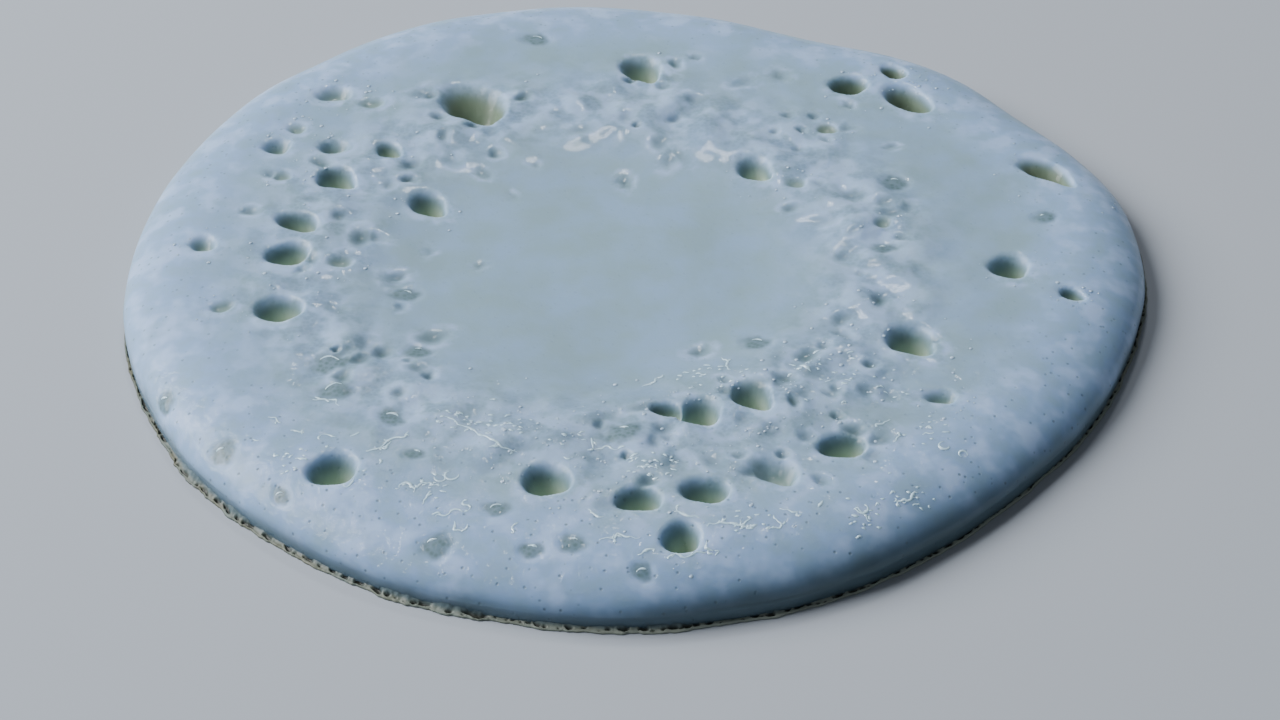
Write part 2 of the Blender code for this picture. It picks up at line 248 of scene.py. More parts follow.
class DosaBatter(bpy.types.PropertyGroup):
    """The wet batter"""

    grid: IntProperty(name="Grid", description="Squares across the top before it is refined", default=150)
    paste: colour_property("Paste", "Where the batter is smooth and a little clear", "#88A5B5")
    foam: colour_property("Foam", "Where it is full of fine air", "#8FAFD6")
    bright: colour_property("Bright", "The whitest foam, round burst bubbles", "#A8C4EA")
    shade: colour_property("Shade", "The lumpy band, where the foam has sunk", "#6B86A2")
    # Hollow, floor and wall are partly the batter's own grey-green and partly painted light and shade: hollow
    # is lightened deep in a hollow, where shade falls, and wall and floor are painted shade on the upper
    # walls and on the lit floors of wide or far hollows.
    hollow: colour_property("Hollow", "Deep in a burst bubble", "#B5C9B0")
    floor: colour_property("Floor", "The clear floor of a wide or far hollow", "#6E806C")
    wall: colour_property("Wall", "Where a hollow begins to fall away, or is shallow", "#718B8C")
    film: colour_property("Film", "A bubble seen through its skin", "#5C767E")
    pinhole: colour_property("Pinhole", "A pinprick of a burst bubble", "#7188A0")
    # Foot is partly the half-clear batter's own grey-green and partly painted shade, darkest on the front
    # right of the foot.
    foot: colour_property("Foot", "The half-clear batter just above the crust", "#586E79")
    mottle: length_property("Mottle", "Width of a patch of foam", 7 * MM)
    pinhole_gap: length_property("Pinhole gap", "Distance between pinholes", 1.5 * MM)
    pinhole_radius: length_property("Pinhole radius", "Largest radius of a pinhole", 0.30 * MM)


class DosaCrust(bpy.types.PropertyGroup):
    """The griddled side and its lace"""

    straw: colour_property("Straw", "Lace that has only just set", "#56645E")
    gold: colour_property("Gold", "Crust that has begun to brown", "#545640")
    brown: colour_property("Brown", "Crust that lay hottest", "#443C2C")
    joined: colour_property("Joined", "Where the lace runs up into the half-clear batter", "#566A72")
    # Pale is painted light: it pales the lace on the front right, where light falls on it.
    pale: colour_property("Pale", "Lace that the griddle left white", "#A3AEA6")
    burnt: colour_property("Burnt", "The dark bottom of a bubble in the lace", "#2B2F27")
    lip_height: length_property("Lip height", "How thick the lace is at its edge", 0.3 * MM)
    skirt_height: length_property("Skirt height", "How far it climbs up the batter", 1.45 * MM)
    hole_gap: length_property("Hole gap", "Mean distance between bubbles in the lace", 1.3 * MM)


class DosaFilm(bpy.types.PropertyGroup):
    """Standing film on the wet top, white as a painted highlight, and its froth, whose whiter skins are
    partly painted glints
    """

    # The film's white and rippled colours are a painted highlight, standing in for the gleam of the lamps on
    # the wet ridges.
    white: colour_property("White", "The standing film", "#D2F0FF")
    rippled: colour_property("Rippled", "The film where it is thinner", "#BCE4FC")
    width: length_property("Width", "How wide a stroke of film is", 0.6 * MM)
    # The froth colour is partly the bubbles' own white and partly painted glints.
    froth: colour_property("Froth", "The skins of the small bubbles", "#CBE4FC")
    hazy: colour_property("Hazy", "The skins of those that are half clear", "#8CA8C2")
    froth_count: IntProperty(name="Froth count", description="How many small bubbles stand", default=700)


class DosaStage(bpy.types.PropertyGroup):
    """Floor, light and camera"""

    floor: colour_property("Floor", "The plain pale floor", "#A9B1BC")
    lens: FloatProperty(name="Lens", description="Focal length in mm", default=85)
    elevation: FloatProperty(
        name="Elevation", description="Camera above the horizon", subtype="ANGLE", default=math.radians(37)
    )
    distance: length_property("Distance", "Camera to the point that it looks at", 415 * MM)


class DosaSettings(bpy.types.PropertyGroup):
    """All that a user may change"""

    batter: PointerProperty(type=DosaBatter)
    crust: PointerProperty(type=DosaCrust)
    film: PointerProperty(type=DosaFilm)
    stage: PointerProperty(type=DosaStage)


# Helpers
def ease(share):
    """0 below 0, 1 above 1, and a half cosine wave between them."""
    return 0.5 - 0.5 * np.cos(np.pi * np.clip(share, 0, 1))


def noise_at(points):
    return np.array([noise.noise(point) for point in np.asarray(points, float).tolist()])


def flat_noise(xy, length, layer):
    return noise_at(np.c_[xy / length, np.full(len(xy), layer)])


def noise_round(bearings, length, layer):
    """Noise that closes on itself round the dosa, one bump each length or so."""
    turns = np.radians(bearings)
    size = RADIUS / length
    return noise_at(np.c_[size * np.cos(turns), size * np.sin(turns), np.full(len(turns), layer)])


def unit(bearings):
    turns = np.radians(bearings)
    return np.c_[np.cos(turns), np.sin(turns)]


def direction(bearing):
    return unit(np.array([bearing]))[0]


def bearing_of(xy):
    return np.degrees(np.arctan2(xy[:, 1], xy[:, 0]))


# The outline, and the skin that is laid out flat and then folded down over the rim
def bell(bearings, swell):
    off = (bearings - swell.bearing + 180) % 360 - 180
    return swell.reach * np.exp(-0.5 * (off / swell.spread) ** 2)


def edge_radius(bearings):
    radius = RADIUS + WOBBLE * noise_round(bearings, WOBBLE_LENGTH, 3.7)
    return radius + sum(bell(bearings, swell) for swell in SWELLS)


def lace_reach(bearings):
    bump = noise_round(bearings, LACE_SCALLOP_LENGTH, 8.2)
    return LACE_REACH * (1 + LACE_SCALLOP * bump) * (1 - bell(bearings, LACE_THINNING))


def centre_of_outline():
    """The middle of the outline's box, where the frame has its origin."""
    bearings = np.arange(OUTLINE_STEPS) * 360 / OUTLINE_STEPS
    reach = unit(bearings) * (edge_radius(bearings) + lace_reach(bearings))[:, None]
    return (reach.min(0) + reach.max(0)) / 2


CENTRE = centre_of_outline()


def flat_edge(bearings):
    return edge_radius(bearings) - RIM_WIDTH + RIM_ARC


def fold(xy):
    """Points of the plain round, and outward normals, for points of the flat skin."""
    distance = np.hypot(*xy.T)
    outward = xy / np.maximum(distance, MM * MM)[:, None]
    edge = edge_radius(bearing_of(xy))
    from_border = edge - RIM_WIDTH + RIM_ARC - distance
    tilt = np.clip(from_border / RIM_ARC, 0, 1) * math.pi / 2
    radius = np.where(from_border < RIM_ARC, edge - RIM_WIDTH * (1 - np.cos(tilt)), distance)
    drop = CROWN_HEIGHT - BELLY_HEIGHT
    points = np.c_[outward * radius[:, None], BELLY_HEIGHT + drop * np.sin(tilt)]
    normals = np.c_[outward * (np.cos(tilt) / RIM_WIDTH)[:, None], np.sin(tilt) / drop]
    return points, normals / np.linalg.norm(normals, axis=1)[:, None]


def unfold(xy):
    """Points of the flat skin that fold to these places, seen from above."""
    distance = np.hypot(*xy.T)
    edge = edge_radius(bearing_of(xy))
    past = np.clip((distance - edge + RIM_WIDTH) / RIM_WIDTH, 0, 1)
    flat = edge - RIM_WIDTH + RIM_ARC * (1 - np.arccos(past) / (math.pi / 2))
    scale = np.where(past > 0, flat / np.maximum(distance, MM * MM), 1)
    return xy * scale[:, None]


def flat_place(x, y):
    """The place on the flat skin that folds to this one, given in mm as seen from above."""
    return unfold(np.array([(x, y)]) * MM)[0]


class Pit:
    """A hollow in the skin: its middle, and its half widths along and across its bearing."""

    def __init__(self, x, y, half_width, stretch, bearing, layer):
        self.middle = flat_place(x, y)
        self.across = half_width * MM
        self.along = self.across * stretch
        self.axis = direction(bearing)
        self.layer = layer

    def share(self, xy):
        """0 in the middle and 1 on the lip."""
        off = xy - self.middle
        u = off @ self.axis / self.along
        v = (off[:, 1] * self.axis[0] - off[:, 0] * self.axis[1]) / self.across
        angle = np.arctan2(v, u)
        uneven = 1 + 0.10 * np.sin(2 * angle + self.layer) + 0.06 * np.sin(3 * angle + 2.3 * self.layer)
        return np.hypot(u, v) / uneven

    def lip(self, xy):
        """Where the wall starts, as a share: further out on the side that has slumped."""
        off = (xy - self.middle) @ direction(SLUMP_BEARING)
        towards = off / np.maximum(np.hypot(*(xy - self.middle).T), MM * MM)
        return SHARP_LIP + (SLUMPED_LIP - SHARP_LIP) * (0.5 + 0.5 * towards) ** 2

    def near(self, xy, reach):
        return np.flatnonzero(np.hypot(*(xy - self.middle).T) < reach * self.along)


def crater_wall(share, lip):
    """1 on a crater's floor and 0 at its lip."""
    wall = 1 - ease((share - CRATER_FLOOR) / (lip - CRATER_FLOOR))
    return wall * (1 - 0.1 * np.minimum(share, 1) ** 2)


def blister_depth(share):
    wall = 1 - ease((share - BLISTER_WALL) / (BLISTER_LIP - BLISTER_WALL))
    return BLISTER_DEPTH * wall - BLISTER_DOME * (1 - ease(share / BLISTER_WALL))


CRATER_PITS = [(Pit(*crater[:5], layer), crater.depth * MM) for layer, crater in enumerate(CRATERS)]
BLISTER_PITS = [Pit(*blister, layer + 0.5) for layer, blister in enumerate(BLISTERS)]
PIT_REACH = 2.6


def dimple_pits():
    """Small shallow hollows, each with its depth, scattered over the fields."""
    draw = np.random.default_rng(DIMPLE_SEED)
    pits = []
    for field in DIMPLE_FIELDS:
        for _ in range(field.count):
            x, y = draw.normal((field.x, field.y), field.spread)
            half_width = draw.uniform(*DIMPLE_HALF_WIDTH)
            pit = Pit(x, y, half_width, draw.uniform(1, 1.5), draw.uniform(0, 180), draw.uniform(0, 9))
            pits.append((pit, draw.uniform(*DIMPLE_DEPTH)))
    return pits


DIMPLE_PITS = dimple_pits()


def band_share(xy):
    """1 along the lumpy band round the dip, fading away from it."""
    away = (np.hypot(*(xy - DIP_CENTRE).T) - BAND_RADIUS) / BAND_WIDTH
    return np.exp(-away * away)


def clear_shaded_floor(pit):
    """1 for a hollow with little batter left on its floor, whose darker tint there is partly painted shade,
    and 0 for most.
    """
    return max(ease((pit.middle.sum() - FAR_OFF) / FAR_OFF), ease((pit.across - WIDE) / WIDER))


def skin_relief(xy):
    """The skin's height over the plain round, and what its colour needs to know."""
    height = SWELL_LUMP * flat_noise(xy, SWELL_LUMP_LENGTH, 0.4)
    band = band_share(xy)
    height += BAND_LUMP * band * (0.6 + flat_noise(xy, BAND_LUMP_LENGTH, 1.9))
    dip = np.hypot(*(xy - DIP_CENTRE).T) / DIP_RADIUS
    height -= DIP_DEPTH * (1 - ease((dip - 0.6) / 0.6))
    depth, hollow, film, froth, clear = (np.zeros(len(xy)) for _ in range(5))
    for pit, deep in CRATER_PITS:
        near = pit.near(xy, PIT_REACH)
        share = pit.share(xy[near])
        wall = crater_wall(share, pit.lip(xy[near]))
        shown = deep if deep > HALF_FULL else HALF_FULL_SHARE * deep
        depth[near] = np.maximum(depth[near], wall * shown)
        # The hollow tint, partly the batter's grey-green and partly painted light and shade, is stronger the
        # narrower the hollow is.
        tint = min(1, LEAST_TINT + (1 - LEAST_TINT) * (shown / pit.across / SLIM) ** 3)
        hollow[near] = np.maximum(hollow[near], wall ** 0.7 * tint)
        froth[near] = np.maximum(froth[near], np.exp(-((share - 1.5) / 0.45) ** 2))
        # Painted shade as well as a thin floor: wide or far hollows get a darker floor.
        clear[near] = np.maximum(clear[near], ease(2 * wall) * clear_shaded_floor(pit))
    for pit in BLISTER_PITS:
        near = pit.near(xy, PIT_REACH)
        share = pit.share(xy[near])
        depth[near] = np.maximum(depth[near], blister_depth(share))
        frayed = share + 0.22 * flat_noise(xy[near], 1.1 * MM, 7.7)
        film[near] = np.maximum(film[near], 1 - ease((frayed - 0.45) / 0.65))
    sunk = np.zeros(len(xy))
    for pit, deep in DIMPLE_PITS:
        near = pit.near(xy, PIT_REACH)
        share = pit.share(xy[near])
        sunk[near] = np.maximum(sunk[near], deep * (1 - ease(share / 1.3)))
        froth[near] = np.maximum(froth[near], 0.9 * np.exp(-((share - 1.4) / 0.35) ** 2))
    depth = np.maximum(depth, sunk)
    froth = np.maximum(froth, 0.8 * band)
    height += froth * 0.11 * MM * flat_noise(xy, 1.5 * MM, 5.1)
    marks = {"hollow": hollow, "film": film, "froth": froth, "clear": clear, "band": band}
    marks["sunk"] = sunk / DIMPLE_DEPTH[1]
    return height - depth, marks


def skin_points(xy):
    points, normals = fold(xy)
    height, marks = skin_relief(xy)
    return points + normals * height[:, None], marks


# Meshes and pieces
def add_piece(name, data, material, smooth=True):
    """Put a finished mesh in the scene as a piece that stands for the dosa's solid."""
    data.materials.append(material)
    if smooth:
        data.shade_smooth()
    piece = bpy.data.objects.new(name, data)
    bpy.context.scene.collection.objects.link(piece)
    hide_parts(NODE)
    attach(piece, BODY)
    return piece


def write_marks(data, marks):
    for name, values in marks.items():
        data.attributes.new(name, "FLOAT", "POINT").data.foreach_set("value", np.asarray(values, np.float32))


def square_to_disc(square):
    """Shirley and Chiu's map: a square's rings become a disc's rings, with cells of nearly one size."""
    a, b = square.T
    across = np.abs(a) > np.abs(b)
    radius = np.where(across, a, b)
    with np.errstate(divide="ignore", invalid="ignore"):
        turn = np.where(across, b / a, 2 - a / b) * math.pi / 4
    turn = np.nan_to_num(turn)
    return np.c_[radius * np.cos(turn), radius * np.sin(turn)]


def vertex_array(mesh):
    return np.array([vert.co for vert in mesh.verts])


def move_vertices(mesh, places):
    for vert, place in zip(mesh.verts, places.tolist()):
        vert.co = place


def refine(mesh, wanted):
    """Halve every edge whose middle is wanted."""
    middles = np.array([(edge.verts[0].co + edge.verts[1].co) / 2 for edge in mesh.edges])[:, :2]
    edges = [edge for edge, pick in zip(mesh.edges, wanted(middles)) if pick]
    bmesh.ops.subdivide_edges(mesh, edges=edges, cuts=1, use_grid_fill=True)


def near_pits(xy, reach):
    close = np.zeros(len(xy), bool)
    for pit in [pit for pit, _ in CRATER_PITS] + BLISTER_PITS:
        close |= np.hypot(*(xy - pit.middle).T) < reach * pit.along
    return close


FRONT_SLOPE = -46 * MM


def flat_skin(grid):
    """The flat skin as a disc of squares, finer on the front slope and finest at the hollows."""
    mesh = bmesh.new()
    bmesh.ops.create_grid(mesh, x_segments=grid, y_segments=grid, size=1)
    disc = square_to_disc(vertex_array(mesh)[:, :2])
    flat = disc * flat_edge(bearing_of(disc))[:, None]
    move_vertices(mesh, np.c_[flat, np.zeros(len(flat))])
    refine(mesh, lambda xy: near_pits(xy, 1.9) | (xy[:, 1] < FRONT_SLOPE) | (band_share(xy) > 0.2))
    refine(mesh, lambda xy: near_pits(xy, 1.35))
    return mesh


SIDE_STEPS = 9
FOOT_HEIGHT = 0.25 * MM

# The half-clear foot, its grey-green partly its own and partly painted shade: where the painted shade is
# broad, where its tint starts to fade and over what height, and how strong
SHADED_FOOT = Swell(298, 1.0, 20)
FOOT_START = 0.9 * MM
FOOT_FADE = 2.9 * MM
FOOT_BROADER = 1.5 * MM
FOOT_RAGGED = 0.8 * MM
FOOT_TINT = 0.88

# Pinholes grow more and the skin grows wetter towards the front: from this y, and over this distance
PINHOLES_FROM = -20 * MM
PINHOLES_OVER = 45 * MM
WET_FROM = -16 * MM
WET_OVER = 24 * MM


def side_ring(share, bearings):
    """A ring of the side: share 0 at the belly and 1 at the foot."""
    tuck = TUCK_IN * ease(1.15 * share) * (1 + 0.5 * noise_round(bearings, 4 * MM, 6.6))
    radius = edge_radius(bearings) - tuck
    height = BELLY_HEIGHT + (FOOT_HEIGHT - BELLY_HEIGHT) * share
    return np.c_[unit(bearings) * radius[:, None], np.full(len(bearings), height)]


def draw_rings(mesh, edges, rings):
    """Draw a loop of edges on through rings, each a function of the bearings, and close the last."""
    for ring in rings:
        drawn = bmesh.ops.extrude_edge_only(mesh, edges=edges)["geom"]
        verts = [item for item in drawn if isinstance(item, bmesh.types.BMVert)]
        bearings = bearing_of(np.array([vert.co for vert in verts])[:, :2])
        for vert, place in zip(verts, ring(bearings).tolist()):
            vert.co = place
        edges = [item for item in drawn if isinstance(item, bmesh.types.BMEdge)]
    bmesh.ops.edgeloop_fill(mesh, edges=edges)


def build_batter(settings):
    mesh = flat_skin(settings.grid)
    bmesh.ops.triangulate(mesh, faces=mesh.faces)
    flat = vertex_array(mesh)[:, :2]
    places, marks = skin_points(flat)
    move_vertices(mesh, places)
    shares = np.arange(1, SIDE_STEPS + 1) / SIDE_STEPS
    border = [edge for edge in mesh.edges if edge.is_boundary]
    draw_rings(mesh, border, [lambda bearings, share=share: side_ring(share, bearings) for share in shares])
    bmesh.ops.recalc_face_normals(mesh, faces=mesh.faces)
    places = vertex_array(mesh)
    marks = {name: np.pad(values, (0, len(places) - len(values))) for name, values in marks.items()}
    bearings = bearing_of(places[:, :2])
    outside = np.hypot(*places[:, :2].T) / edge_radius(bearings)
    # Painted shade: the foot tint is broader and stronger on the front right, where shade falls on the
    # batter.
    broad = bell(bearings, SHADED_FOOT)
    start = FOOT_START + FOOT_BROADER * broad - FOOT_RAGGED * noise_round(bearings, 5 * MM, 4.2)
    fade = 1 - ease((places[:, 2] - start) / (FOOT_FADE + FOOT_BROADER * broad))
    marks["foot"] = (FOOT_TINT + (1 - FOOT_TINT) * broad) * fade * ease((outside - 0.82) / 0.1)
    marks["rim"] = ease((outside - 0.74) / 0.16)
    in_front = ease((PINHOLES_FROM - places[:, 1]) / PINHOLES_OVER)
    marks["pinholes"] = np.clip(0.2 + 0.5 * marks["rim"] + 0.6 * in_front, 0, 1)
    marks["wet"] = ease((WET_FROM - places[:, 1]) / WET_OVER) * (1 - marks["foot"])
    bmesh.ops.translate(mesh, verts=mesh.verts, vec=(-CENTRE[0], -CENTRE[1], 0))
    data = bpy.data.meshes.new("wet_batter")
    mesh.to_mesh(data)
    mesh.free()
    write_marks(data, marks)
    return data


# The crust: a thin sheet under the batter, whose edge stands out in a lace of burst bubbles
Bubble = namedtuple("Bubble", "bearing half_length half_width rise")
LACE_BUBBLES = tuple(Bubble(bearing, length * MM, width * MM, 0) for bearing, length, width in (
    (215.0, 1.1, 0.22),
    (219.0, 1.0, 0.24),
    (229.6, 0.80, 0.36),
    (232.6, 0.75, 0.34),
    (242.0, 1.00, 0.42),
    (244.3, 1.05, 0.40),
    (248.6, 0.50, 0.28),
    (249.6, 0.85, 0.34),
    (252.4, 0.45, 0.30),
    (255.2, 1.80, 0.42),
    (264.8, 0.60, 0.30),
))
LACE_HIDDEN = Swell(186, 0.8, 15)
# Painted light: the lace is paled on the front right, where light falls on it.
LACE_PAINTED_LIGHT = Swell(305, 0.9, 38)
LACE_SEED = 4
LACE_STEPS = 2400
LACE_ROWS = 17
LACE_DEEP = 1.9 * MM
LACE_WEB = 0.16 * MM
LACE_RAGGED = 0.26 * MM
LACE_BOTTOM = 0.07 * MM
CRUST_BOTTOM_RINGS = (0.9985, 0.97, 0.93, 0.85, 0.7, 0.5, 0.3, 0.1)


def crust_radius(bearings):
    coarse, fine = noise_round(bearings, 1.5 * MM, 12.4), noise_round(bearings, 0.6 * MM, 3.3)
    ragged = LACE_RAGGED * (coarse + 0.6 * fine)
    reach = lace_reach(bearings) * (1 - bell(bearings, LACE_HIDDEN))
    return edge_radius(bearings) + reach * (1 + ragged / LACE_REACH)


def lace_bubbles(gap):
    """The bubbles that show in front, then smaller ones all the way round at about this distance."""
    bubbles = list(LACE_BUBBLES)
    draw = np.random.default_rng(LACE_SEED)
    bearing = 0.0
    while bearing < 360:
        half_length = (0.2 + 0.8 * draw.random() ** 2) * MM
        half_width = min(half_length * draw.uniform(0.4, 0.7), 0.3 * MM)
        room = math.degrees((half_length + 0.9 * MM) / RADIUS)
        if all(abs(bearing - bubble.bearing) > room for bubble in LACE_BUBBLES):
            bubbles.append(Bubble(bearing, half_length, half_width, draw.uniform(0, 0.16) * MM))
        bearing += math.degrees((half_length + draw.uniform(0.15, 1.3) * gap) / RADIUS)
    return bubbles


def lace_relief(bearings, inward, settings):
    """The height of the lace this far in from its edge, and how deep in a bubble each point is."""
    rounded = np.sqrt(np.clip(inward / (0.14 * MM), 0, 1))
    climb = np.clip((inward - 0.12 * MM) / (1.1 * MM), 0, 1) ** 2.1
    reach = lace_reach(bearings) * (1 - bell(bearings, LACE_HIDDEN))
    skirt = settings.skirt_height * np.clip(reach / LACE_REACH, 0.45, 1.15)
    height = settings.lip_height * (0.3 + 0.7 * rounded) + (skirt - settings.lip_height) * climb
    height += 0.05 * MM * noise_at(np.c_[bearings * 1.1, inward / (0.5 * MM), np.full(len(bearings), 5.5)])
    deep = np.zeros(len(bearings))
    for layer, bubble in enumerate(lace_bubbles(settings.hole_gap)):
        off = (bearings - bubble.bearing + 180) % 360 - 180
        near = np.flatnonzero(np.abs(off) < math.degrees(2 * bubble.half_length / RADIUS))
        half_width = np.minimum(bubble.half_width, 0.5 * reach[near] + 0.04 * MM)
        middle = LACE_WEB + half_width + bubble.rise
        u = np.radians(off[near]) * RADIUS / bubble.half_length
        v = (inward[near] - middle) / half_width
        angle = np.arctan2(v, u)
        share = np.hypot(u, v) / (1 + 0.16 * np.sin(2 * angle + layer) + 0.1 * np.sin(3 * angle + 2 * layer))
        deep[near] = np.maximum(deep[near], 1 - ease((share - 0.6) / 0.4))
        height[near] += 0.07 * MM * np.exp(-((share - 1.15) / 0.2) ** 2)
    return height * (1 - deep) + LACE_BOTTOM * deep, deep


def build_crust(settings):
    bearings = np.arange(LACE_STEPS) * 360 / LACE_STEPS
    inwards = LACE_DEEP * np.linspace(1, 0, LACE_ROWS) ** 1.3
    marks = [np.zeros(LACE_STEPS)]

    def place(inward, bearings):
        return unit(bearings) * (crust_radius(bearings) - inward)[:, None]

    def top(inward):
        def ring(bearings):
            height, deep = lace_relief(bearings, np.full(len(bearings), inward), settings)
            marks.append(deep)
            return np.c_[place(inward, bearings), height]
        return ring

    def bottom(share):
        return lambda bearings: np.c_[place(0, bearings) * share, np.zeros(len(bearings))]

    mesh = bmesh.new()
    first = lace_relief(bearings, np.full(LACE_STEPS, LACE_DEEP), settings)[0]
    verts = [mesh.verts.new(point) for point in np.c_[place(LACE_DEEP, bearings), first].tolist()]
    edges = [mesh.edges.new((vert, verts[step - 1])) for step, vert in enumerate(verts)]
    bmesh.ops.edgeloop_fill(mesh, edges=edges)
    rings = [top(inward) for inward in inwards[1:]] + [bottom(share) for share in CRUST_BOTTOM_RINGS]
    draw_rings(mesh, edges, rings)
    bmesh.ops.recalc_face_normals(mesh, faces=mesh.faces)
    bmesh.ops.translate(mesh, verts=mesh.verts, vec=(-CENTRE[0], -CENTRE[1], 0))
    data = bpy.data.meshes.new("griddled_crust")
    mesh.to_mesh(data)
    # Painted light: the pale mark lightens the lace on the front right.
    pale = bell(bearing_of(vertex_array(mesh)[:, :2]), LACE_PAINTED_LIGHT)
    mesh.free()
    deep = np.concatenate(marks)
    climbed = np.repeat(ease((inwards - 0.35 * MM) / (0.6 * MM)), LACE_STEPS)
    rest = (0, len(data.vertices) - len(deep))
    write_marks(data, {"bubble": np.pad(deep, rest), "climbed": np.pad(climbed, rest), "pale": pale})
    return data


# Standing film: thin ridges of rice water on the wet skin, coloured white as a painted highlight
FILM_SEED = 11
FILM_STEP = 0.22 * MM
FILM_BEND = 1.3 * MM
FILM_KINK = 0.5 * MM
FILM_SINK = 0.7


def wandering_line(draw, start, bearing, length, sway):
    """Points of a line on the flat skin that wanders about its bearing by about this many degrees."""
    steps = max(3, round(length / FILM_STEP))
    phase = draw.uniform(0, 50)
    run = np.arange(steps) * FILM_STEP
    same = np.full(steps, phase)
    bend = noise_at(np.c_[run / FILM_BEND, same, np.full(steps, 0.7)])
    kink = noise_at(np.c_[run / FILM_KINK, same, np.full(steps, 3.1)])
    turn = bend + 0.5 * kink
    turn -= turn.mean()
    return start + np.vstack(((0, 0), np.cumsum(unit(bearing + sway * turn) * FILM_STEP, axis=0)))


def stroke_lines(stroke, draw):
    """A long ridge, and short ones that branch off it."""
    start = flat_place(stroke.x, stroke.y)
    sway = 60 if stroke.length > 10 else 130
    main = wandering_line(draw, start, stroke.bearing, stroke.length * MM, sway)
    lines = [main]
    for _ in range(int(stroke.length / 2)):
        fork = main[draw.integers(len(main))]
        lines.append(wandering_line(draw, fork, draw.uniform(0, 360), draw.uniform(0.5, 1.6) * MM, 160))
    return lines


def arc_on_blister(pit, draw):
    """The little bent gleam near the far side of a bubble's skin."""
    middle = draw.uniform(60, 120)
    half = draw.uniform(25, 60)
    bearings = np.linspace(middle - half, middle + half, 9)
    return pit.middle + unit(bearings) * pit.across * draw.uniform(0.45, 0.65)


def ring_line(ring, draw):
    start = draw.uniform(0, 360)
    middle = flat_place(ring.x, ring.y)
    return middle + unit(np.linspace(start, start + 270, 12)) * ring.radius * MM


def lines_of_film(draw):
    lines = []
    for stroke in STROKES:
        lines += stroke_lines(stroke, draw)
    for flecks in FLECKS:
        middle = flat_place(flecks.x, flecks.y)
        for _ in range(flecks.count * 2):
            start = middle + draw.normal(0, flecks.spread, 2) * MM
            lines.append(wandering_line(draw, start, draw.uniform(-40, 40), draw.uniform(0.3, 1.2) * MM, 160))
    lines += [ring_line(ring, draw) for ring in RINGS]
    lines += [arc_on_blister(pit, draw) for pit in BLISTER_PITS]
    return lines


def tube_mesh(name, lines, radii):
    """One mesh of thin tubes along these lines, tapering to their ends."""
    curve = bpy.data.curves.new(name, "CURVE")
    curve.dimensions = "3D"
    curve.bevel_depth = 1.0
    curve.bevel_resolution = 1
    curve.use_fill_caps = True
    for line, widths in zip(lines, radii):
        spline = curve.splines.new("POLY")
        spline.points.add(len(line) - 1)
        spline.points.foreach_set("co", np.c_[line, np.ones(len(line))].ravel())
        spline.points.foreach_set("radius", widths)
    holder = bpy.data.objects.new(name, curve)
    bpy.context.scene.collection.objects.link(holder)
    shown = holder.evaluated_get(bpy.context.evaluated_depsgraph_get())
    data = bpy.data.meshes.new_from_object(shown)
    data.name = name
    bpy.data.objects.remove(holder)
    mesh = bmesh.new()
    mesh.from_mesh(data)
    bmesh.ops.remove_doubles(mesh, verts=mesh.verts, dist=0.001 * MM)
    mesh.to_mesh(data)
    mesh.free()
    return data


def knots(draw, count):
    """How the width of a stroke swells and thins along it."""
    coarse = draw.uniform(0.4, 1.4, count // 3 + 2)
    return np.interp(np.arange(count) / 3, np.arange(len(coarse)), coarse)


def out_of_holes(flat):
    """The first part of a line that doesn't run down into a hollow."""
    _, marks = skin_points(flat)
    inside = np.append(np.flatnonzero(marks["hollow"] > 0.03), len(flat))
    return flat[:inside[0]]


def build_film(settings):
    draw = np.random.default_rng(FILM_SEED)
    lines, radii = [], []
    for flat in map(out_of_holes, lines_of_film(draw)):
        if len(flat) < 3:
            continue
        places, _ = skin_points(flat)
        share = np.linspace(0, 1, len(flat))
        widths = settings.width / 2 * np.sin(math.pi * (0.08 + 0.84 * share)) * knots(draw, len(flat))
        widths = np.maximum(widths, 0.12 * settings.width)
        places[:, 2] -= FILM_SINK * widths
        places[:, :2] -= CENTRE
        lines.append(places)
        radii.append(widths)
    return tube_mesh("film_painted_highlight", lines, radii)


# Froth: small bubbles that stand on the skin
FROTH_SEED = 23
FROTH_SMALLEST = 0.09 * MM
FROTH_LARGEST = 0.34 * MM
FROTH_FLATNESS = 0.35
FROTH_ON_BAND = 0.45
FROTH_BEARINGS = (235, 350)
FROTH_AWAY = (1.7, 2.8)
PIT_KEPT_CLEAR = 1.6


def froth_places(draw, count):
    """Flat places where froth gathers: beside burst bubbles and along the front of the lumpy band."""
    places = []
    while len(places) < count:
        pit, _ = CRATER_PITS[draw.integers(len(CRATER_PITS))]
        if draw.random() < FROTH_ON_BAND:
            bearing = draw.uniform(*FROTH_BEARINGS)
            away = BAND_RADIUS + draw.normal(0, 0.6) * BAND_WIDTH
            place = DIP_CENTRE + direction(bearing) * away
        else:
            place = pit.middle + direction(draw.uniform(0, 360)) * pit.along * draw.uniform(*FROTH_AWAY)
        if not near_pits(place[None], PIT_KEPT_CLEAR)[0]:
            places.append(place)
    return np.array(places)


def build_froth(settings):
    draw = np.random.default_rng(FROTH_SEED)
    flat = froth_places(draw, settings.froth_count)
    sizes = FROTH_SMALLEST + (FROTH_LARGEST - FROTH_SMALLEST) * draw.random(len(flat)) ** 2.5
    places, _ = skin_points(flat)
    _, normals = fold(flat)
    mesh = bmesh.new()
    for place, normal, size in zip(places, normals, sizes):
        made = bmesh.ops.create_icosphere(mesh, subdivisions=2, radius=size)["verts"]
        turn = Vector(normal).to_track_quat("Z", "Y")
        for vert in made:
            vert.co.z *= FROTH_FLATNESS
            vert.co.rotate(turn)
            vert.co += Vector(place) - Vector((*CENTRE, 0))
    data = bpy.data.meshes.new("froth_bubbles")
    mesh.to_mesh(data)
    mesh.free()
    return data


